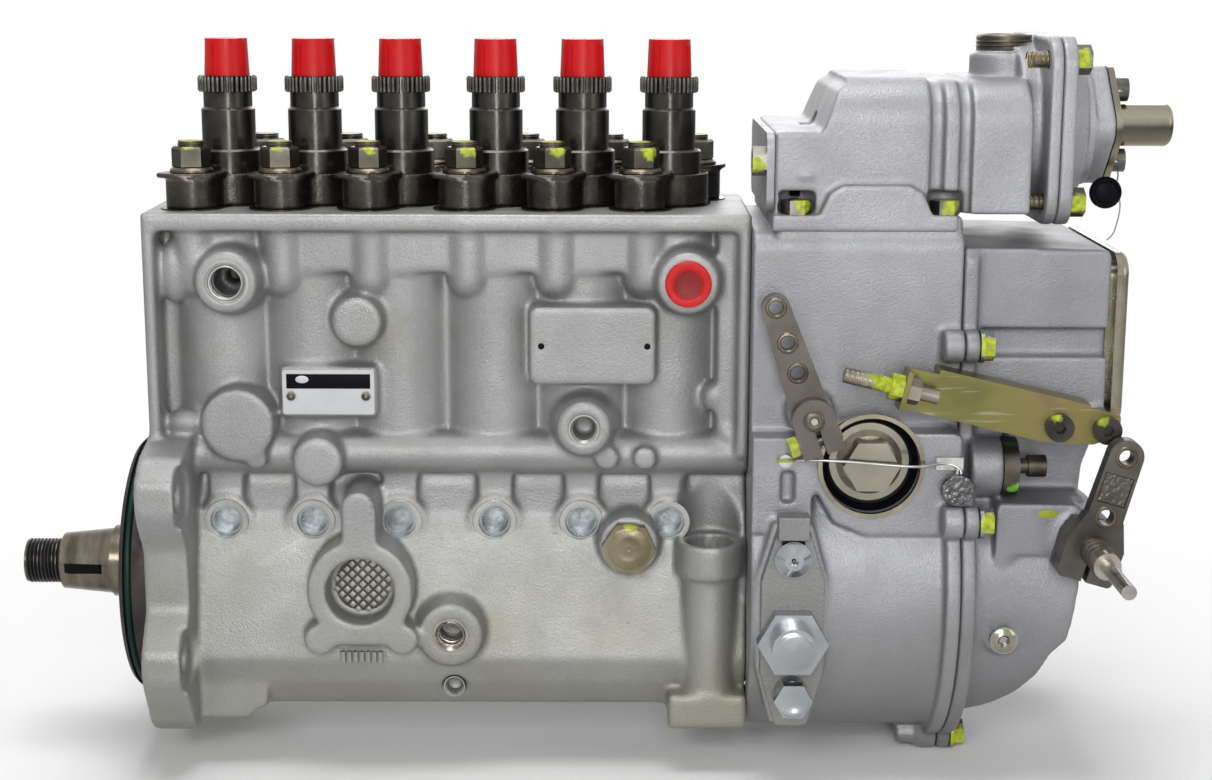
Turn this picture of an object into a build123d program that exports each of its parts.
"""Six-cylinder in-line diesel injection pump with flyweight governor and boost control.

Millimetres. The origin is the centre of the drive flange's pilot on the mounting face. +X runs along
the camshaft to the governor, -Y is the side with the fuel ports and levers, and +Z is up.
"""
import os
from math import cos, radians, sin

from build123d import *

os.makedirs("parts", exist_ok=True)

# ---- driving dimensions: pump -------------------------------------------------------------------
cylinder_pitch = 35.0
centre_gap = 38.3  # between cylinders 3 and 4, where the centre bearing sits
first_cylinder_x = 30.0
body_start_x = 1.0
last_bay = 31.7  # from the last cylinder to the end of the body
deck_z = 152.0  # top face above the camshaft axis
deck_front_y = -39.5
deck_back_y = 37.5
rim = 6.0  # width of the frame round the recessed side walls
web_y = 25.0  # half width of the upper body between the bulges
bulge_r = 24.0
bulge_y = 9.0
port_z = 125.5
gallery_z = 54.5
cam_box_y = 46.0
cam_box_bottom_z = -50.0
flange_thickness = 18.0
flange_bottom_z = -58.0
flange_hole_y = 58.0
flange_hole_top_z = 43.0
flange_hole_bottom_z = -24.0
flange_hole_r = 5.5
pilot_r = 52.5
pilot_height = 11.0
tunnel_r = 31.0
tappet_r = 15.0
spring_chamber_r = 16.0
barrel_r = 10.0
plunger_r = 5.0
sleeve_r = 13.0
stud_r = 5.0
stud_x = 11.7
stud_y = 19.7
rack_y = -17.5
rack_z = 82.0
rack_r = 5.0
shaft_r = 15.0
cam_base_r = 17.5
cam_tip_r = 28.0
cam_width = 18.0
running_gap = 0.05
port_r = 6.3
plug_z = 27.0
plug_face_y = 35.0
foot_bottom_z = -55.5
spigot_r = 40.0
spigot_length = 14.0
bearing_r = 26.0
seal_r = 22.0
seal_end_x = -3.0
o_ring_x = -7.5
key_floor = 9.5
shim = 0.5
sleeve_top_z = deck_z + 13.0
nut_seat_z = sleeve_top_z + 1.4
barrel_bottom_z = 96.3
barrel_top_z = deck_z + 6.0
plunger_top_z = barrel_top_z - 9.8
tappet_top_z = 52.0
upper_seat_z = 74.0
base_thickness = 4.0
base_screw_r = 2.5
cover_screw_r = 2.5
lever_x = 300.0  # pivot of the lever between governor sleeve and rack
# ---- driving dimensions: governor and boost control ---------------------------------------------
# These pieces are drawn behind a body that ends at rear_x, and save_rear moves them to its real end.
rear_x = 240.0
governor_joint_x = 321.5  # plane between governor housing and rear cover
joint_flange = 6.0
drum_r = 67.0
drum_wall = 6.0
governor_top_z = 146.5
governor_y = 50.0
cover_end_x = 379.0
cover_top_z = 140.5
throttle_x = 370.8
throttle_z = 27.3
stop_x = 262.2
stop_z = 77.7
boost_axis_z = 184.4
boost_base_z = 153.0
boost_joint_x = 358.0
flange_half_y = 44.0
flange_half_z = 36.5
port_tower_x = 343.0
port_top_z = 220.5
boost_hole_x = 280.0
bolt_r = 3.0
column_x1 = 263.5
plug_x = 285.9
plug_height = 57.5
adjuster_x = 255.6
adjuster_heights = (23.0, -9.6, -30.9)
lever_back_y = 64.8  # back face of the stop lever, in front of the governor
lever_shaft_r = 4.0
lever_z = 27.0
side_stop_y, side_stop_z = -48.0, 54.0
side_plate_x = governor_joint_x + 17
bracket_x, bracket_z = 296.2, 89.3
seal_post_x = 252.4
seal_clip_x = 317.0

cylinder_x = [
    first_cylinder_x + n * cylinder_pitch + (centre_gap - cylinder_pitch if n > 2 else 0.0)
    for n in range(6)
]
body_end_x = cylinder_x[5] + last_bay
rear_shift = body_end_x - rear_x
middle_x = (cylinder_x[2] + cylinder_x[3]) / 2
port_x = (cylinder_x[0] + 4.6, cylinder_x[5] + 6.8)
foot_x = body_end_x - 15
pad_x, pad_y, pad_z = cylinder_x[1] + 20.4, -54.0, 2.8  # feed-pump pad
hex_plug_x, hex_plug_y, hex_plug_z = 192.4, -45.2, 19.7
label_x, label_y, label_z = 72.6, -35.2, 80.4
label_pin_x = 14.9
base_x0, base_x1 = 14.0, body_end_x - 14
base_y = 24.0
base_screws = [(x, y) for x in (base_x0 + 5, middle_x, base_x1 - 5) for y in (-19, 19)]
cover_screws = [(44.6 * cos(radians(a)), 44.6 * sin(radians(a))) for a in (45, 135, 225, 315)]
governor_studs = [(-32, 62), (32, 62), (-38, -40), (38, -40)]
joint_bolts = [(-54, 103), (-67, 36), (-20, -68), (54, 103), (67, 36), (20, -68)]
bracket_screws = [(357.6, 73.4), (376.0, 72.4)]
base_bolts = [(256.6, -43), (314.2, -43), (256.6, 43), (314.2, 43)]
boost_bolts = [(s * 35, boost_axis_z + t * 27.5) for s in (-1, 1) for t in (-1, 1)]
cap_screws = [(0, boost_axis_z + s * 14.2) for s in (-1, 1)]
x0_nut = rear_x + 6
TURNS = {"x": (0, 90, 0), "y": (-90, 0, 0), "z": (0, 0, 0)}


# ---- helpers ------------------------------------------------------------------------------------
def bar(start, radius, length, axis="z"):
    """A round bar that starts at a point and runs along a positive axis."""
    stood = (Align.CENTER, Align.CENTER, Align.MIN)
    return Location(start, TURNS[axis]) * Cylinder(radius, length, align=stood)


def cone(start, first_r, last_r, length, axis="z"):
    stood = (Align.CENTER, Align.CENTER, Align.MIN)
    return Location(start, TURNS[axis]) * Cone(first_r, last_r, length, align=stood)


def ring(start, outer_r, inner_r, length, axis="z"):
    return bar(start, outer_r, length, axis) - bar(start, inner_r, length, axis)


def block(x0, x1, y0, y1, z0, z1):
    middle = ((x0 + x1) / 2, (y0 + y1) / 2, (z0 + z1) / 2)
    return Pos(*middle) * Box(x1 - x0, y1 - y0, z1 - z0)


def hexagon(start, flats, length, axis="z", turn=0.0):
    """A hexagonal bar, with its size across the flats."""
    across = Rot(0, 0, turn) * RegularPolygon(flats / 2, 6, major_radius=False)
    return Location(start, TURNS[axis]) * extrude(across, length)


def outline(points, radius=0.0):
    face = make_face(Polyline(*points, close=True))
    return fillet(face.vertices(), radius) if radius else face


def along_x(face, x0, x1):
    """A YZ outline made solid from one X to another."""
    return extrude(Plane.YZ.offset(x0) * face, x1 - x0)


def along_y(face, y0, y1):
    """An XZ outline made solid from one Y to another."""
    return extrude(Plane.XZ.offset(-y1) * face, y1 - y0)


def turned(points):
    """A solid of revolution about Z from (radius, height) points."""
    return revolve(Plane.XZ * outline(points), Axis.Z)


def save(node, *solids):
    whole = solids[0] if len(solids) == 1 else Compound(children=list(solids))
    export_step(whole, f"parts/{node}.step")


def save_rear(node, *solids):
    """Saves pieces of the governor and boost control, moved to the end of the body."""
    save(node, *[Pos(rear_shift, 0, 0) * solid for solid in solids])


def at_cylinders(solid):
    return [Pos(x, 0, 0) * solid for x in cylinder_x]


def at_studs(solid):
    """One copy at each of the two studs of every cylinder."""
    return [Pos(x + s * stud_x, s * stud_y, 0) * solid for x in cylinder_x for s in (-1, 1)]


# ---- pump housing -------------------------------------------------------------------------------
def cam_box():
    """The lower casting round the camshaft, widest below the axis."""
    half = [(25, 50), (27, 41), (33.5, 30), (cam_box_y, -28), (43, -38), (36, cam_box_bottom_z)]
    points = half + [(-y, z) for y, z in reversed(half)]
    return along_x(outline(points, 3.0), body_start_x, body_end_x)


def upper_body():
    slab = block(body_start_x, body_end_x, deck_front_y, deck_back_y, deck_z - rim - 1, deck_z)
    core = block(body_start_x, body_end_x, -web_y, web_y, 40, deck_z - 1)
    pieces = [slab, core, block(body_end_x - 13, body_end_x - 2, -34.5, 34, gallery_z, deck_z - 2)]
    for x0, x1 in ((body_start_x, body_start_x + rim - 1), (body_end_x - rim + 1, body_end_x)):
        pieces.append(block(x0, x1, deck_front_y, deck_back_y, gallery_z, deck_z))
    column = bar((0, 0, gallery_z), bulge_r, deck_z - 2 - gallery_z)
    for side in (-1, 1):
        pieces += [Pos(x, side * bulge_y, 0) * column for x in cylinder_x]
        pieces.append(bar((body_start_x, side * 29, gallery_z), 8.5, body_end_x - body_start_x, "x"))
    return pieces


def stud_bosses():
    """Round-ended columns under the deck that take the clamp studs, with pads between them."""
    boss_r = 8.7
    boss_bottom = deck_z - 26.0
    boss_x, boss_y = 9.8, 28.4
    column = bar((0, 0, boss_bottom), boss_r, deck_z - 2 - boss_bottom) + Pos(0, 0, boss_bottom) * Sphere(boss_r)
    bosses = []
    for x in cylinder_x:
        bosses += [Pos(x - boss_x, -boss_y, 0) * column, Pos(x + boss_x, boss_y, 0) * column]
    for left, right in zip(cylinder_x[1:-1], cylinder_x[2:]):
        x0, x1 = left - boss_x + boss_r - 1, right - boss_x - boss_r + 1
        bosses.append(block(x0, x1, -34, -web_y + 2, deck_z - 24, deck_z - 2))
    return bosses


def flange():
    half = [(38, 62), (56, 58), (66, 50), (66, 36), (55, 20), (54, -4), (66, -20), (66, -32),
            (54, -52), (46, flange_bottom_z)]
    points = half + [(-y, z) for y, z in reversed(half)]
    plate = along_x(outline(points, 5.0), 0, flange_thickness)
    for side in (-1, 1):
        for z in (flange_hole_top_z, flange_hole_bottom_z):
            plate -= bar((-1, side * flange_hole_y, z), flange_hole_r, flange_thickness + 2, "x")
            plate -= bar((flange_thickness - 2.5, side * flange_hole_y, z), 12.5, 4, "x")
    return plate


def front_boss(x, z, radius, front_y, root_y, spread=2.5):
    """A round boss with a widening root on the front wall."""
    return cone((x, front_y, z), radius, radius + spread, root_y - front_y, "y")


def pump_pad():
    """Mounting pad for a feed pump: a ring with a neck above and two ears below."""
    x, z, front, root = pad_x, pad_z, pad_y, -22.0
    face = Pos(x, z) * Circle(21.2) + Pos(x, z + 15) * Rectangle(14, 38)
    face += Pos(x, z + 34) * Circle(7)
    for side in (-1, 1):
        face += Pos(x + side * 16.4, z - 20) * Circle(6.4)
    face += Pos(x, z - 11.5) * Rectangle(32, 22)
    return along_y(face, front, root)


def housing_solids():
    """Everything that the casting is made up of, before its bores are cut."""
    solids = upper_body() + [flange()] + stud_bosses() + [pump_pad()]
    solids += [front_boss(x, port_z, 12, -44, -22, 4) for x in port_x]
    solids.append(front_boss(84.8, 109.3, 9.8, -40, -22, 3))
    solids.append(front_boss(174.4, 67.6, 10.6, -46, -22, 5))
    solids.append(front_boss(68.7, 53.8, 10, -46, -22, 1))
    solids.append(front_boss(36.8, 67.9, 14.6, -42, -22, 1))
    solids += [bar((x, -41, gallery_z), 4.8, 12, "y") for x in (43.5, 183.5, 198.7)]
    solids.append(along_y(Pos(177.8, 100.1) * RectangleRounded(50, 31, 3), -41, -22))
    solids.append(along_y(Pos(label_x, label_z) * RectangleRounded(39.5, 21, 2), label_y, -22))
    tappet_boss = cone((0, 0, plug_z), 14, 10.8, plug_face_y, "y")
    for x in cylinder_x:
        solids += [Pos(x, 0, 0) * tappet_boss, Pos(x, 0, 0) * mirror(tappet_boss, Plane.XZ)]
        solids.append(block(x - 7, x + 7, -33, 33, plug_z, 50))
    solids.append(front_boss(121, -16, 12.7, -51, -30, 5))
    solids.append(front_boss(hex_plug_x, hex_plug_z, 12, hex_plug_y, -20, 2))
    solids += [bar((foot_x, -40, foot_bottom_z), 10.8, 75), bar((foot_x, -40, 7), 13.4, 14)]
    solids.append(block(foot_x - 16.5, body_end_x, -51.5, -20, foot_bottom_z, -41))
    solids.append(block(foot_x - 12, body_end_x, -40, 40, cam_box_bottom_z, 20))
    heel = outline([(14, -30), (14, -54.5), (38, -54.5), (41, -51), (46, -49), (46, -30)], 1)
    solids.append(along_y(heel, -43, 43))
    return solids


def housing_cuts():
    """The bores and pockets of the casting."""
    cuts = [bar((-1, 0, 0), spigot_r + running_gap, spigot_length + 1, "x")]
    cuts += [bar((0, 0, 0), tunnel_r, body_end_x - 14, "x")]
    cuts += [bar((body_end_x - 20, 0, 0), bearing_r + running_gap, 30, "x")]
    cuts += at_cylinders(bar((0, 0, 15), tappet_r + running_gap, 43))
    cuts += at_cylinders(bar((0, 0, 57), spring_chamber_r, 43))
    cuts += at_cylinders(bar((0, 0, 99), sleeve_r + running_gap, deck_z - 98))
    cuts += at_cylinders(block(-14, 14, -21, -5, rack_z - 3, rack_z + 9))
    cuts += at_cylinders(bar((0, -plug_face_y - 1, plug_z), 6.6, 2 * plug_face_y + 2, "y"))
    cuts += at_studs(bar((0, 0, deck_z - 24), stud_r + running_gap, 30))
    cuts.append(bar((rim + 2, rack_y, rack_z), rack_r + 0.5, body_end_x, "x"))
    cuts.append(bar((cylinder_x[0], 0, port_z), 4, cylinder_x[5] - cylinder_x[0], "x"))
    cuts += [bar((x, -45, port_z), port_r, 21, "y") for x in port_x]
    cuts += [bar((x, -25, port_z), 3.5, 16, "y") for x in port_x]
    cuts.append(bar((174.4, -47, 67.6), 4.9, 14, "y"))
    cuts.append(bar((121, -52, -16), 5.6, 16, "y"))
    cuts.append(bar((pad_x, pad_y - 1, pad_z), 13.5, 13, "y"))
    cuts.append(block(pad_x - 8, pad_x + 8, pad_y - 1, pad_y + 3.5, pad_z - 30, pad_z - 25))
    cuts += [bar((foot_x, -40, 13), 9.5, 9), bar((foot_x, -40, foot_bottom_z - 1), 5.5, 80)]
    cuts.append(bar((foot_x, -40, 21), 13.6, 24))
    cuts.append(bar((hex_plug_x, hex_plug_y - 1, hex_plug_z), 8 + running_gap, 14, "y"))
    cuts += [bar((x, -42, 100.1), 1.1, 5, "y") for x in (157.5, 199.3)]
    cuts += [bar((label_x + s * label_pin_x, label_y - 1, label_z - 1.6), 1 + running_gap, 6, "y") for s in (-1, 1)]
    cuts.append(bar((121.8, -50, -40), 4.4, 14, "y"))
    low = cam_box_bottom_z
    cuts.append(block(base_x0, base_x1, -base_y, base_y, low - 1, low + base_thickness))
    cuts.append(block(base_x0 + 8, base_x1 - 8, -base_y + 8, base_y - 8, low, -20))
    cuts += [bar((x, y, low), base_screw_r + running_gap, 14) for x, y in base_screws]
    cuts += [bar((-1, y, z), cover_screw_r + running_gap, 15, "x") for y, z in cover_screws]
    cuts += [bar((body_end_x - 8.5, y, z), 3 + running_gap, 10, "x") for y, z in governor_studs]
    return cuts


def pump_housing():
    return cam_box() + housing_solids() - housing_cuts()


def save_pump_shell():
    save("pump_housing", pump_housing())
    low = cam_box_bottom_z
    gap = 0.1
    plate = block(base_x0 + gap, base_x1 - gap, -base_y + gap, base_y - gap, low, low + base_thickness)
    plate -= [bar((x, y, low - 1), base_screw_r + 0.3, 9) for x, y in base_screws]
    plate -= [bar((x, y, low - 1), 4.6, 3.2) for x, y in base_screws]
    save("base_cover", plate)
    screw = bar((0, 0, low), 4.3, 2.2) + bar((0, 0, low), base_screw_r, 12) - hexagon((0, 0, low - 1), 4, 2.2)
    screws = [Pos(x, y, 0) * screw for x, y in base_screws]
    head = bar((-pilot_height, 0, 0), 4.3, 4, "x") + bar((-pilot_height, 0, 0), cover_screw_r, 22, "x")
    head -= hexagon((-pilot_height - 1, 0, 0), 4, 3, "x")
    screws += [Pos(0, y, z) * head for y, z in cover_screws]
    save("cover_screws", *screws)


def save_drive_end():
    """The pilot disc that closes the drive end, with its seal, bearings and O-ring."""
    disc = bar((-pilot_height, 0, 0), pilot_r, pilot_height, "x")
    disc = chamfer(disc.edges().filter_by(GeomType.CIRCLE).sort_by(Axis.X)[0], 1.5)
    disc += bar((0, 0, 0), spigot_r, spigot_length, "x")
    disc -= [bar((-pilot_height - 1, 0, 0), seal_r + running_gap, 20, "x"),
             bar((seal_end_x, 0, 0), bearing_r + running_gap, 30, "x"),
             ring((-pilot_height - 1, 0, 0), 40, seal_r + 4, 3, "x"),
             ring((o_ring_x - 1.8, 0, 0), pilot_r + 1, pilot_r - 3.5, 3.6, "x")]
    disc -= [bar((-pilot_height - 1, y, z), 4.6, 5.2, "x") for y, z in cover_screws]
    disc -= [bar((-pilot_height, y, z), cover_screw_r + 0.3, 20, "x") for y, z in cover_screws]
    save("drive_end_cover", disc)
    save("pilot_o_ring", Location((o_ring_x, 0, 0), (0, 90, 0)) * Torus(pilot_r - 1.8, 1.65))
    save("shaft_seal", ring((-pilot_height + 1, 0, 0), seal_r, shaft_r + 0.1, seal_end_x + pilot_height - 1, "x"))
    first = ring((seal_end_x, 0, 0), bearing_r, shaft_r + running_gap, spigot_length - seal_end_x, "x")
    last = ring((body_end_x - 14 + 0.1, 0, 0), bearing_r, shaft_r + running_gap, 13.9, "x")
    save("camshaft_bearings", first, last)
    shell = ring((middle_x - 7, 0, 0), tunnel_r - running_gap, 20 + running_gap, 14, "x")
    half = block(middle_x - 8, middle_x + 8, -40, 40, 0.05, 40)
    save("centre_bearing", shell & half, shell & mirror(half, Plane.XY))


# ---- camshaft -----------------------------------------------------------------------------------
def cam(angle):
    """One cam: a base circle and a smaller nose circle with straight flanks."""
    nose_r = 9.0
    base, nose = Circle(cam_base_r), Pos(cam_tip_r - nose_r, 0) * Circle(nose_r)
    lobe = make_hull((base + nose).edges())
    return along_x(Rot(0, 0, angle) * lobe, -cam_width / 2, cam_width / 2)


def camshaft():
    shaft = bar((-23.6, 0, 0), shaft_r, 37.6, "x") + bar((-60.7, 0, 0), 9, 15.5, "x")
    shaft += cone((-45.2, 0, 0), 11.7, 13.86, 21.6, "x") + bar((14, 0, 0), 14, body_end_x - 28, "x")
    shaft += bar((body_end_x - 14, 0, 0), shaft_r, 14.5, "x") + bar((body_end_x, 0, 0), 12, 10, "x")
    shaft += bar((middle_x - 9, 0, 0), 20, 18, "x")
    firing_order = (1, 5, 3, 6, 2, 4)
    for step, number in enumerate(firing_order):
        shaft += Pos(cylinder_x[number - 1], 0, 0) * cam(60 * step)
    shaft -= block(-43, -27, -16, -key_floor, -2, 2)
    return shaft


def save_camshaft():
    save("camshaft", camshaft())
    save("woodruff_key", along_y(Pos(-35, 0) * RectangleRounded(15, 3.9, 1.9), -13.5, -key_floor))


# ---- pumping elements ---------------------------------------------------------------------------
def sleeve_outline(grow=0.0):
    face = Circle(16.2 + grow / 2)
    for s in (-1, 1):
        face += Pos(s * stud_x, s * stud_y) * Circle(10.4 + grow)
    return fillet(face.vertices(), 4)


def barrel_sleeve():
    """The flanged sleeve that clamps a barrel: a round hub with two ears on opposite sides."""
    solid = Pos(0, 0, deck_z + shim) * extrude(sleeve_outline(), 11.9)
    solid += bar((0, 0, deck_z), 16.2, sleeve_top_z - deck_z)
    solid -= bar((0, 0, deck_z), 16.3, shim)
    for s in (-1, 1):
        eye = Pos(0, 5.9) * Circle(15.4) & Pos(0, -5.9) * Circle(15.4)
        lens = Rot(0, 0, 23.5) * extrude(eye, 2) - bar((-s * stud_x, -s * stud_y, -1), 13.4, 4)
        solid += Pos(s * stud_x, s * stud_y, nut_seat_z - 2) * lens
    solid += bar((0, 0, 112), sleeve_r, deck_z - 102)
    solid -= bar((0, 0, 100), barrel_r + running_gap, sleeve_top_z - 85)
    for s in (-1, 1):
        solid -= bar((s * stud_x, s * stud_y, deck_z), stud_r + 0.4, 20)
    return solid


def timing_shim():
    flat = extrude(sleeve_outline(2.3), shim) - bar((0, 0, -1), sleeve_r + 0.3, 3)
    for s in (-1, 1):
        flat -= bar((s * stud_x, s * stud_y, -1), stud_r + 0.4, 3)
    return Pos(0, 0, deck_z) * flat


def delivery_valve_holder():
    """The screwed-in holder with its splined collar and the union thread on top."""
    skirt = barrel_r - running_gap
    seat, neck = sleeve_top_z, sleeve_top_z + 25
    body = turned([(6.2, barrel_top_z), (skirt, barrel_top_z), (skirt, seat), (13.15, seat),
                   (13.15, seat + 8.6), (12.3, seat + 9.4), (10.75, seat + 9.4), (10.75, neck),
                   (9.75, neck + 1), (9.75, neck + 8), (7, neck + 8), (7, neck + 25), (6, neck + 26),
                   (3, neck + 26), (1.5, neck + 23), (1.5, neck - 4), (6.2, neck - 4)])
    teeth = 24
    points = []
    for n in range(teeth):
        for radius, turn in ((11.3, -0.25), (11.3, 0.1), (10.2, 0.25), (10.2, 0.6)):
            angle = radians(360 / teeth * (n + turn))
            points.append((radius * cos(angle), radius * sin(angle)))
    collar = Pos(0, 0, neck + 7) * extrude(outline(points), 6.4) - bar((0, 0, neck), 6, 20)
    return body + collar


def shipping_cap():
    foot = sleeve_top_z + 38.5
    cup = turned([(0, foot + 14.7), (8.4, foot + 14.7), (9, foot), (7.3, foot), (7.3, foot + 13.1), (0, foot + 13.1)])
    for n in range(4):
        rib = block(8.2, 9.4, -0.5, 0.5, foot, foot + 12.5)
        cup += Rot(0, 0, 90 * n + 60) * rib
    return cup


def port_plug():
    """Red plastic plug that shuts the right-hand fuel port."""
    face = bar((port_x[1], -45.6, port_z), 9.1, 1.6, "y") + bar((port_x[1], -44, port_z), port_r - 0.1, 10, "y")
    return face - bar((port_x[1], -46, port_z), 5, 6, "y")


def barrel():
    solid = bar((0, 0, barrel_bottom_z), barrel_r - running_gap, barrel_top_z - barrel_bottom_z)
    return solid - [bar((0, 0, 90), plunger_r + running_gap, barrel_top_z - 68),
                    bar((0, -12, port_z), 1.6, 24, "y")]


def delivery_valve():
    low = barrel_top_z
    return turned([(0, low), (6.1, low), (6.1, low + 2.5), (4, low + 3.5), (4, low + 9), (2.5, low + 12), (0, low + 12)])


def control_sleeve():
    """The sleeve that turns a plunger, with the arm and pin that reach into the rack."""
    tube = ring((0, 0, 79), 10, plunger_r + 0.3, 17)
    arm = block(-3, 3, rack_y - 2, -8.5, rack_z + 4, rack_z + 7.5)
    return tube + arm + bar((0, rack_y, rack_z - 1), 2, 7) - bar((0, 0, 70), plunger_r + 0.3, 40)


def plunger():
    foot = tappet_top_z + 0.2
    shaft = bar((0, 0, foot), plunger_r, plunger_top_z - foot) + bar((0, 0, foot), 6.5, 2)
    return shaft - bar((0, -8, port_z - 6), 2.2, 5, "y")


def plunger_spring():
    half_wire = 1.5
    start = tappet_top_z + 3.2 + half_wire + 0.4
    height = upper_seat_z - half_wire - 0.4 - start
    path = Helix(pitch=height / 3.5, height=height, radius=12.2)
    wire = Plane(origin=path @ 0, z_dir=path % 0) * Rectangle(2 * half_wire, 2 * half_wire)
    return Pos(0, 0, start) * sweep(wire, path, is_frenet=True)


def roller_tappet():
    body = bar((0, 0, 31), tappet_r, tappet_top_z - 31)
    return body - [block(-9.2, 9.2, -20, 20, 30, 47), bar((-20, 0, 37), 4 + running_gap, 40, "x")]


def save_elements():
    save("barrel_flange_sleeves", *at_cylinders(barrel_sleeve()))
    save("timing_shims", *at_cylinders(timing_shim()))
    save("clamp_studs", *at_studs(bar((0, 0, deck_z - 23.8), stud_r, 50.5)))
    nut = hexagon((0, 0, nut_seat_z + 2), 15, 8.2, "z", 10) + bar((0, 0, nut_seat_z), 8.65, 2.2)
    save("clamp_nuts", *at_studs(nut - bar((0, 0, nut_seat_z - 1), stud_r + running_gap, 20)))
    save("delivery_valve_holders", *at_cylinders(delivery_valve_holder()))
    save("shipping_caps", *at_cylinders(shipping_cap()), port_plug())
    save("plunger_barrels", *at_cylinders(barrel()))
    save("delivery_valves", *at_cylinders(delivery_valve()))
    save("plunger_springs", *at_cylinders(plunger_spring()))
    lower = ring((0, 0, tappet_top_z), 14.2, 6.8, 2.2) + ring((0, 0, tappet_top_z + 2.2), 14.2, plunger_r + 0.4, 1)
    upper = ring((0, 0, upper_seat_z), 15.4, 10.3, 2)
    save("spring_seats", *at_cylinders(lower), *at_cylinders(upper))
    roller = bar((-9, 0, 37), 8, 18, "x") - bar((-10, 0, 37), 4 + running_gap, 20, "x")
    pin = bar((-13.5, 0, 37), 4, 27, "x")
    save("roller_tappets", *at_cylinders(roller_tappet()), *at_cylinders(roller), *at_cylinders(pin))
    front = -plug_face_y + 2.0
    plug = bar((0, front, plug_z), 6.55, 6, "y") - bar((0, front - 1, plug_z), 5.4, 6, "y")
    save("tappet_hole_plugs", *at_cylinders(plug), *at_cylinders(mirror(plug, Plane.XZ)))
    for number, x in enumerate(cylinder_x, 1):
        save(f"plunger_and_sleeve_{number}", Pos(x, 0, 0) * plunger(), Pos(x, 0, 0) * control_sleeve())


def save_small_pump_parts():
    plug = hexagon((hex_plug_x, hex_plug_y - 4.5, hex_plug_z), 19, 4.5, "y", 5)
    plug += bar((hex_plug_x, hex_plug_y, hex_plug_z), 8, 10, "y")
    save("hex_plug", plug)
    plate = along_y(Pos(label_x, label_z) * RectangleRounded(36.5, 18, 1), label_y - 0.8, label_y)
    pins = []
    for s in (-1, 1):
        x, z = label_x + s * label_pin_x, label_z - 1.6
        plate -= bar((x, label_y - 2, z), 1 + running_gap, 4, "y")
        pins.append(bar((x, label_y - 1.6, z), 1.8, 0.8, "y") + bar((x, label_y - 1.6, z), 1, 6, "y"))
    save("label_plate", plate, *pins)
    pivot_x = lever_x + rear_shift
    rack = bar((20, rack_y, rack_z), rack_r, pivot_x - 14, "x")
    rack -= block(10, pivot_x - 8, -30, 0, rack_z + 3.5, rack_z + 9)
    rack -= at_cylinders(block(-2.9, 2.9, -30, 0, rack_z - 1.5, rack_z + 9))
    rack -= block(pivot_x - 2.7, pivot_x + 2.7, -30, 0, rack_z - 3.5, rack_z + 9)
    save("control_rack", rack)


# ---- governor -----------------------------------------------------------------------------------
def governor_outline(radius, half_width, top_z):
    upright = Pos(0, top_z / 2) * Rectangle(2 * half_width, top_z)
    upright = fillet(upright.vertices().group_by(Axis.Y)[-1], 7)
    return Circle(radius) + upright


def bolt_ears(x0, x1):
    return [bar((x0, y, z), 6.5, x1 - x0, "x") for y, z in joint_bolts]


def adjuster_outline(grow=0.0):
    """The faceted plate under the adjusters, or the casting's pad round it."""
    left, right, top, low = 249.5 - grow, 262 + grow, 34 + grow, -45 - grow
    return outline([(left, top), (right, top), (268 + grow, 14), (268 + grow, -24), (right, low), (left, low),
                    (243.5 - grow, -24), (243.5 - grow, 14)], 1.5)


def governor_housing():
    x0, x1 = rear_x, governor_joint_x
    inside_r, inside_y = drum_r - drum_wall, governor_y - drum_wall
    solids = [along_x(governor_outline(drum_r + 4.5, governor_y, governor_top_z), x1 - joint_flange, x1)]
    solids += bolt_ears(x1 - 8, x1)
    for side in (-1, 1):
        solids.append(cone((x1 - 20.5, side * 54, 103), 3.6, 4.4, 13, "x"))
        solids.append(cone((x1 - 16.5, side * 20, -68), 4.4, 4.8, 9, "x"))
    solids.append(along_y(adjuster_outline(1.5), -drum_r - 0.5, -30))
    solids.append(block(x0, column_x1, -62, -30, 30, 68))
    pad = outline([(264, 70), (264, 48), (272, 34), (284, 29.5), (x1, 29.5), (x1, 70)], 3)
    solids.append(along_y(pad, -62, -30))
    solids.append(bar((stop_x, -lever_back_y + 2, stop_z), 9, 30, "y"))
    solids.append(block(x0, column_x1, -governor_y + 6, governor_y - 6, 60, governor_top_z))
    body = along_x(governor_outline(drum_r, governor_y, governor_top_z), x0, x1) + solids
    roof = governor_top_z - drum_wall
    cuts = [along_x(governor_outline(inside_r, inside_y, roof), x0 + 6, x1 + 1)]
    cuts.append(bar((x0 - 1, 0, 0), 32, 10, "x"))
    cuts.append(bar((x0 - 1, rack_y, rack_z), rack_r + 1.5, 10, "x"))
    cuts += [bar((x0 - 1, y, z), 5.6, 8, "x") for y, z in governor_studs]
    cuts += [bar((x1 - 7.2, y, z), bolt_r + running_gap, 30, "x") for y, z in joint_bolts]
    cuts.append(bar((stop_x, -90, stop_z), lever_shaft_r + running_gap, 70, "y"))
    cuts.append(bar((plug_x, -63, plug_height), 18.9, 8.5, "y"))
    cuts.append(bar((plug_x, -63, plug_height), 12 + running_gap, 34, "y"))
    cuts.append(block(251, 256.6, -63, -58.5, 42, 55))
    cuts += [bar((adjuster_x, -90, z), 4 + running_gap, 60, "y") for z in adjuster_heights]
    cuts.append(bar((boost_hole_x, 0, roof - 1), 18, 20))
    cuts += [bar((x, y, roof - 9), bolt_r + running_gap, 30) for x, y in base_bolts]
    return body - cuts


def lever_bearing():
    """A pillar inside the housing's front wall that carries the governor lever's shaft."""
    wall_y = -governor_y + drum_wall
    return bar((lever_x, wall_y - 14, lever_z), 9, 27.5, "y") - bar((lever_x, wall_y - 1, lever_z), 5.05, 16, "y")


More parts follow.
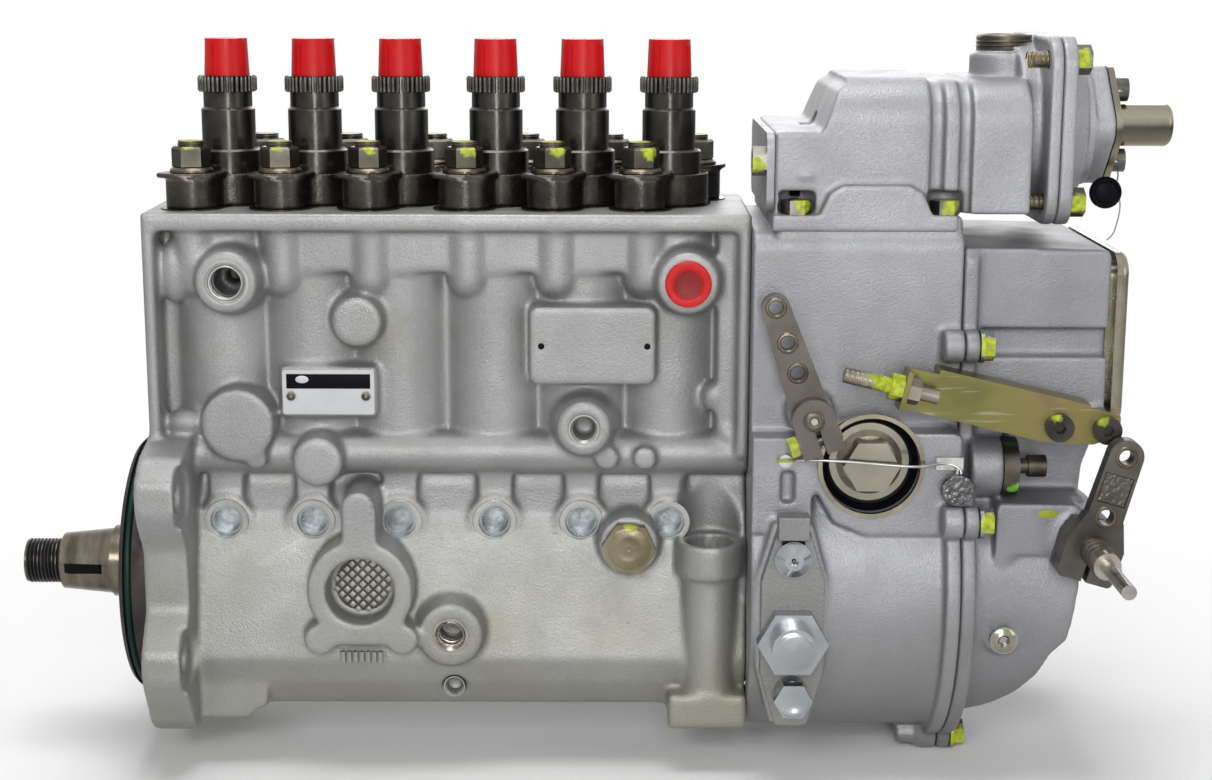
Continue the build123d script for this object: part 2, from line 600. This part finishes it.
def governor_cover():
    x0 = governor_joint_x
    side = outline([(x0, cover_top_z), (cover_end_x, cover_top_z - 1), (cover_end_x, 66), (374, 52), (371, 20),
                    (368, -3), (366, -14), (360, -21), (356, -31), (349, -41), (339, -50), (x0, -60)], 2)
    shell = along_y(side, -90, 90) & along_x(governor_outline(62, governor_y - 3, 200), x0, 400)
    solids = [along_x(governor_outline(drum_r + 4.5, governor_y, cover_top_z), x0, x0 + joint_flange)]
    solids += bolt_ears(x0, x0 + joint_flange)
    solids.append(bar((throttle_x, -61, throttle_z), 12, 40, "y"))
    solids.append(along_y(outline([(336, 41.5), (369, 41.5), (369, 21), (344, 21), (336, 12)], 2), -60, -30))
    solids += [bar((x, -61.5, z), 5.2, 20, "y") for x, z in bracket_screws]
    solids.append(bar((340, -61.5, -13), 7, 20, "y"))
    body = shell + solids
    body -= block(side_plate_x, 400, -80, -36.4, 41.8, 66.2)
    body += bar((x0 + 4, side_stop_y, side_stop_z), 12, 13, "x")
    wall = 5.0
    inner = outline([(x0 - 1, cover_top_z - wall), (cover_end_x - wall, cover_top_z - wall),
                     (cover_end_x - wall, 70), (362, 50), (361, -6), (347, -30), (x0 - 1, -46)], 2)
    hollow = along_y(inner, -90, 90) & along_x(governor_outline(52, 28, 200), x0 - 1, 400)
    cuts = [hollow, block(x0 + 7, 400, -60, -governor_y + 6.5, 97.5, 109)]
    cuts += [bar((x0 - 1, y, z), bolt_r + 0.4, 12, "x") for y, z in joint_bolts]
    cuts.append(bar((throttle_x, -62, throttle_z), lever_shaft_r + running_gap, 40, "y"))
    cuts += [bar((x, -62, z), 3 + running_gap, 18, "y") for x, z in bracket_screws]
    cuts.append(bar((x0 + 8, side_stop_y, side_stop_z), 3 + running_gap, 20, "x"))
    cuts.append(bar((340, -64.5, -13), 3 + running_gap, 22, "y"))
    return body - cuts


def save_governor_shell():
    save_rear("governor_housing", governor_housing() + lever_bearing())
    save_rear("governor_cover", governor_cover())
    step = along_x(Pos(0, 103.3) * RectangleRounded(80, 60, 6), cover_end_x, cover_end_x + 2.6)
    pan = along_x(Pos(0, 103.3) * RectangleRounded(94, 69.5, 9), cover_end_x + 2.5, cover_end_x + 7.5)
    pan = fillet(pan.edges().group_by(Axis.X)[-1], 3)
    save_rear("rear_plate", pan + step)
    x = governor_joint_x + joint_flange
    bolt = hexagon((x, 0, 0), 10, 5.5, "x") + bar((x - 12.5, 0, 0), bolt_r, 13, "x")
    bolt += bar((x, 0, 0), 6.5, 1.5, "x")
    bolts = [Pos(0, y, z) * bolt for y, z in joint_bolts]
    stud = bar((rear_x - 8, 0, 0), 3, 13.5, "x") + hexagon((x0_nut, 0, 0), 10, 4, "x")
    bolts += [Pos(0, y, z) * stud for y, z in governor_studs]
    pan = bar((340, -64.5, -13), 5.4, 3, "y") + bar((340, -62, -13), 3, 12, "y")
    pan -= hexagon((340, -65.5, -13), 5, 2.5, "y")
    save_rear("governor_bolts", *bolts, pan)


def save_front_fittings():
    """Inspection plug, adjuster and side stop on the governor."""
    plug = bar((plug_x, -56.2, plug_height), 18.4, 1.7, "y") + hexagon((plug_x, -66, plug_height), 19, 10, "y")
    plug += bar((plug_x, -56, plug_height), 12, 12, "y")
    save_rear("inspection_plug", plug)
    save_rear("inspection_plug_ring", ring((plug_x, -64.5, plug_height), 20.7, 19, 2.5, "y"))
    front = -drum_r - 0.5
    plate = along_y(adjuster_outline(), front - 6, front) + block(249.5, 261.5, front - 9, front, 31, 40)
    plate -= [bar((adjuster_x, front - 10, z), 4.3, 12, "y") for z in adjuster_heights]
    plate -= block(adjuster_x - 4.3, adjuster_x + 4.3, front - 7, front + 1, adjuster_heights[0], adjuster_heights[0] + 7)
    save_rear("adjuster_plate", plate)
    seat = front - 6
    top, mid, low = adjuster_heights
    dome = bar((adjuster_x, seat, top), 4, 16, "y") + bar((adjuster_x, seat - 2, top), 7.2, 2, "y")
    dome += cone((adjuster_x, seat - 5, top), 3.5, 7.0, 3, "y")
    dome -= hexagon((adjuster_x, seat - 6, top), 3, 2.5, "y")
    cap = bar((adjuster_x, seat, mid), 4, 16, "y") + hexagon((adjuster_x, seat - 7, mid), 24, 7, "y", 0)
    cap += bar((adjuster_x, seat - 14, mid), 8.6, 7, "y")
    bolt = bar((adjuster_x, seat - 7, low), 4, 23, "y") + hexagon((adjuster_x, seat - 12, low), 13, 5, "y", 0)
    save_rear("adjuster_fasteners", dome, cap, bolt + bar((adjuster_x, seat - 7, low), 6.6, 6.8, "y"))
    x = side_plate_x
    disc = bar((x, side_stop_y, side_stop_z), 11.5, 6, "x") - bar((x - 1, side_stop_y, side_stop_z), 3.4, 8, "x")
    save_rear("side_cover_plate", disc)
    screw = bar((x - 8, side_stop_y, side_stop_z), 3, 19, "x") + bar((x + 11, side_stop_y, side_stop_z), 4.4, 7, "x")
    screw -= hexagon((x + 15, side_stop_y, side_stop_z), 4, 4, "x")
    save_rear("side_stop_screw", screw + bar((x + 6.1, side_stop_y, side_stop_z), 5, 1.5, "x"))


def save_seal_wire():
    """The adjusters' locking wire, from a post on the housing to a clip and a lead seal."""
    face = -62.0
    post = bar((seal_post_x, face - 5, 60), 2.6, 5, "y")
    clip = block(seal_clip_x - 6, seal_clip_x + 4.5, face - 2, face, 56, 61)
    path = Spline((seal_post_x, face - 4, 60), (272, face - 6, 60.5), (292, face - 6.2, 59),
                  (307, face - 5.5, 58.6), (seal_clip_x - 3, face - 1.6, 58.5), (seal_clip_x + 3, face - 2.8, 56.5),
                  (seal_clip_x + 2, face - 4, 52))
    wire = sweep(Plane(origin=path @ 0, z_dir=path % 0) * Circle(0.55), path)
    lead = bar((seal_clip_x + 2, face - 6, 48.8), 6, 3.6, "y")
    save_rear("seal_wire", wire + [post, clip, lead])


def tilted(solid, x, z):
    """Place a bracket piece that was drawn level, at the bracket's slope."""
    return Pos(x, 0, z) * Rot(0, 13.3, 0) * solid


def save_bracket():
    back = -61.6
    sheet = 2.0
    shape = outline([(0, 7.5), (13, 7.8), (74, 8.6), (85.7, 8.3), (87.6, 0.4), (78.3, -5.2), (59, -8.6), (0, -8.4)], 1)
    plate = along_y(shape, back - sheet, back)
    plate += block(0, sheet, back - 12, back, -8, 7.5)
    plate += block(13.5, 73.5, back - sheet, back + 11, 7.4, 9.6)
    bracket = tilted(plate, bracket_x, bracket_z)
    bracket -= [bar((x, -80, z), 3.4, 30, "y") for x, z in bracket_screws]
    rod_y = back - 7.5
    bracket -= tilted(bar((-2, rod_y, 0), 3.05, 8, "x"), bracket_x, bracket_z)
    save_rear("lever_stop_bracket", bracket)
    head = bar((0, back - sheet - 4, 0), 5.4, 4, "y") + bar((0, back - sheet, 0), 3, 17, "y")
    head -= hexagon((0, back - sheet - 5, 0), 4, 3, "y")
    save_rear("bracket_screws", *[Pos(x, 0, z) * head for x, z in bracket_screws])
    rod = bar((-23, rod_y, 0), 2.9, 37, "x")
    nuts = [hexagon((-5, rod_y, 0), 9, 4.9, "x") - bar((-6, rod_y, 0), 2.95, 8, "x")]
    nuts.append(hexagon((sheet + 0.1, rod_y, 0), 9, 4.5, "x") - bar((sheet, rod_y, 0), 2.95, 8, "x"))
    save_rear("stop_rod", *[tilted(s, bracket_x, bracket_z) for s in [rod] + nuts])


def save_levers():
    y0 = -lever_back_y
    arm = Pos(0, 45) * Circle(5.4) + outline([(-5.4, 45), (5.4, 45), (7.6, 2), (-7.6, 2)])
    arm += Circle(8.2) + Pos(0, -7) * Rectangle(16.4, 14)
    lever = along_y(arm, y0 - 4, y0) + along_y(Circle(8.2) + Pos(0, -7) * Rectangle(16.4, 14), y0 - 10, y0 - 3.9)
    lever -= [bar((0, y0 - 20, z), 2.7, 30, "y") for z in (18.4, 30.7, 45)]
    lever -= bar((0, y0 - 20, 0), lever_shaft_r + running_gap, 30, "y")
    lever -= block(-1, 1, y0 - 20, y0 + 2, -20, -2)
    lever -= bar((-10, y0 - 5, -9), 2.1, 30, "x")
    turn = Pos(stop_x, 0, stop_z) * Rot(0, -19.2, 0)
    clamp = bar((-8.3, y0 - 5, -9), 2, 17, "x") + hexagon((-12, y0 - 5, -9), 8, 3.7, "x")
    save_rear("stop_lever", turn * lever, turn * clamp)
    save_rear("stop_shaft", bar((stop_x, y0 - 11.5, stop_z), lever_shaft_r, 40, "y"))
    t0 = -62.0
    arm = Pos(0, 38.3) * Circle(6.7) + outline([(-6.7, 38.3), (6.7, 38.3), (7.2, 10), (-7.2, 10)])
    arm += outline([(-7.2, 14), (7.2, 14), (11.5, 2), (11, -13), (-11, -13), (-11.5, 2)], 2)
    lever = along_y(arm, t0 - 14, t0 - 7.5)
    lever += along_y(arm & Pos(0, -2) * Rectangle(40, 22), t0 - 8, t0 - 0.6)
    lever -= along_y(Pos(0, 25) * Rectangle(11.4, 12), t0 - 15, t0 - 13)
    lever -= [bar((0, t0 - 20, z), r, 30, "y") for z, r in ((38.3, 2.8), (13.8, 3))]
    lever -= bar((0, t0 - 20, 0), lever_shaft_r + running_gap, 30, "y")
    lever -= block(-1, 1, t0 - 20, t0 + 2, -20, -2)
    lever -= bar((-14, t0 - 6, -9), 2.1, 30, "x")
    turn = Pos(throttle_x, 0, throttle_z) * Rot(0, 16.1, 0)
    clamp = bar((-11, t0 - 6, -9), 2, 23, "x") + bar((11.4, t0 - 6, -9), 3.6, 3.5, "x")
    save_rear("throttle_lever", turn * lever, turn * clamp)
    shaft = bar((throttle_x, t0 - 15, throttle_z), lever_shaft_r, 49, "y")
    shaft += bar((throttle_x, t0 - 36, throttle_z), 5.2, 21.8, "y") + bar((throttle_x, -130, throttle_z), 2.8, 34, "y")
    save_rear("throttle_shaft", shaft)


def save_flyweights():
    hub = bar((246, 0, 0), 24, 5, "x") + block(251, 277, -11, 11, -14, 14)
    hub += [bar((264, 0, 13), 3.5, 44), bar((264, 0, -57), 3.5, 44)]
    hub -= [bar((245, 0, 0), 12 + running_gap, 5.2, "x"), bar((250, 0, 0), 5 + running_gap, 30, "x")]
    save_rear("flyweight_hub", hub)
    weight = ring((264, 0, 31), 16, 3.5 + running_gap, 20)
    save_rear("flyweight_a", weight)
    save_rear("flyweight_b", Rot(180, 0, 0) * weight)
    sleeve = bar((259, 0, 0), 5, 48, "x") + bar((294, 0, 0), 10, 2.5, "x") + bar((303.5, 0, 0), 10, 2.5, "x")
    save_rear("governor_sleeve", sleeve)
    lever = bar((lever_x, -42, lever_z), 5, 46, "y")
    lever += block(lever_x - 4, lever_x + 4, -12, -7, lever_z, rack_z + 3)
    lever += bar((lever_x, -22, rack_z), 2.5, 12, "y")
    lever += block(lever_x - 1.5, lever_x + 1.5, -8, 8, -5, lever_z) - block(290, 310, -5.6, 5.6, -20, 6)
    save_rear("governor_lever", lever)


# ---- boost control ------------------------------------------------------------------------------
def boost_section(half_width, low, high, corner):
    face = Pos(0, (low + high) / 2) * Rectangle(2 * half_width, high - low)
    return fillet(face.vertices().group_by(Axis.Y)[-1], corner)


def boost_flange(x0, x1):
    face = Pos(0, boost_axis_z) * RectangleRounded(2 * flange_half_y, 2 * flange_half_z, 12)
    return along_x(face, x0, x1)


def boost_housing():
    low = boost_base_z
    solids = [along_x(boost_section(45, low, 205, 18), 276, 307.7)]
    slope = outline([(248, low), (248, 184.7), (266, 184.7), (272, 200), (279, 205), (290, 205), (290, low)], 1.5)
    solids.append(along_y(slope, -45, 45) & along_x(boost_section(45, low, 205, 18), 240, 300))
    solids.append(along_x(boost_section(42, low, 203, 17), 300, 327))
    solids.append(along_x(boost_section(45, low, 204, 17), 313, 319))
    solids.append(along_x(boost_section(45, low, 204, 17), 323.9, 347))
    solids.append(bar((345, 0, boost_axis_z), 34, 11, "x") & block(330, 357, -45, 45, low - 4, 230))
    solids.append(bar((port_tower_x, -2, 180), 14.2, 33.5))
    solids.append(bar((port_tower_x, -2, 213), 11.5, port_top_z - 213))
    hump = outline([(265, low), (269, 161.5), (274, 164.5), (300, 164.5), (305, 161.5), (309, low)], 1)
    solids.append(along_y(hump, -49, 49))
    solids.append(boost_flange(353, boost_joint_x))
    solids.append(along_x(Pos(0, (governor_top_z + low) / 2) * Rectangle(98, low - governor_top_z), 247, 319))
    body = solids[0] + solids[1:]
    cuts = [bar((351.5, 0, boost_axis_z), 31, 30, "x"), bar((262, 0, boost_axis_z), 5 + running_gap, 90, "x")]
    cuts.append(along_x(boost_section(36, low + 6, 178, 10), 254, 300))
    cuts += [bar((port_tower_x, -2, 195), 7.5, 30), bar((port_tower_x, -2, 199), 2, 12, "x")]
    cuts += [bar((x, y, governor_top_z - 1), bolt_r + 0.3, 10) for x, y in base_bolts]
    cuts += [bar((345, y, z), bolt_r + running_gap, 30, "x") for y, z in boost_bolts]
    cuts += [bar((x, y, low), 7.2, 9) for x, y in base_bolts]
    cuts.append(bar((247, -38, 173), bolt_r + running_gap, 12, "x"))
    cuts.append(block(243, 248.1, -60, 60, low, 190))
    return body - cuts


def save_boost():
    save_rear("boost_housing", boost_housing())
    plate = along_x(Pos(0, 168.5) * RectangleRounded(86, 31, 6), 245, 247.9)
    save_rear("boost_end_plate", plate - bar((240, -38, 173), bolt_r + 0.3, 12, "x"))
    x = boost_joint_x
    cover = boost_flange(x, x + 5.5) + cone((x + 5, 0, boost_axis_z), 33, 27, 9.5, "x")
    cover += bar((x + 14, 0, boost_axis_z), 24, 4, "x")
    boss = Pos(0, boost_axis_z) * Rot(0, 0, 45) * RectangleRounded(38, 38, 8)
    cover += along_x(boss, x + 17, x + 26)
    cover -= [bar((x - 1, 0, boost_axis_z), 31, 9, "x"), bar((x - 1, 0, boost_axis_z), 6, 40, "x")]
    cover -= [bar((x - 1, y, z), bolt_r + 0.4, 12, "x") for y, z in boost_bolts]
    cover -= [bar((x + 14, y, z), 2.5 + running_gap, 15, "x") for y, z in cap_screws]
    save_rear("diaphragm_cover", cover)
    plate = along_x(boss, x + 26, x + 28.5)
    cap = plate + bar((x + 28, 0, boost_axis_z), 8.5, 25, "x")
    cap = fillet(cap.edges().filter_by(GeomType.CIRCLE).sort_by(Axis.X)[-1], 2.5)
    cap -= [bar((x + 20, 0, boost_axis_z), 6.5, 30, "x")]
    cap -= [bar((x + 20, y, z), 2.8, 15, "x") for y, z in cap_screws]
    save_rear("boost_end_cap", cap)
    bolt = hexagon((x + 5.5, 0, 0), 10, 6, "x") + bar((x - 10, 0, 0), bolt_r, 16, "x")
    bolts = [Pos(0, y, z) * bolt for y, z in boost_bolts]
    base = hexagon((0, 0, boost_base_z), 10, 5.5) + bar((0, 0, boost_base_z - 14), bolt_r, 15)
    bolts += [Pos(px, py, 0) * base for px, py in base_bolts]
    drilled = bar((x + 28.5, 0, 0), 4.8, 6.5, "x") + bar((x + 16, 0, 0), 2.5, 13, "x")
    drilled -= bar((x + 31.5, -8, 0), 1, 16, "y")
    bolts += [Pos(0, y, z) * drilled for y, z in cap_screws]
    end_bolt = hexagon((239.5, -38, 173), 10, 5.5, "x") + bar((244, -38, 173), bolt_r, 12, "x")
    save_rear("boost_bolts", *bolts, end_bolt)
    rod = bar((270, 0, boost_axis_z), 5, x + 3 - 270, "x") + bar((x + 2, 0, boost_axis_z), 30, 3, "x")
    save_rear("boost_diaphragm", rod)


save_pump_shell()
save_drive_end()
save_camshaft()
save_elements()
save_small_pump_parts()
save_governor_shell()
save_front_fittings()
save_seal_wire()
save_bracket()
save_levers()
save_flyweights()
save_boost()
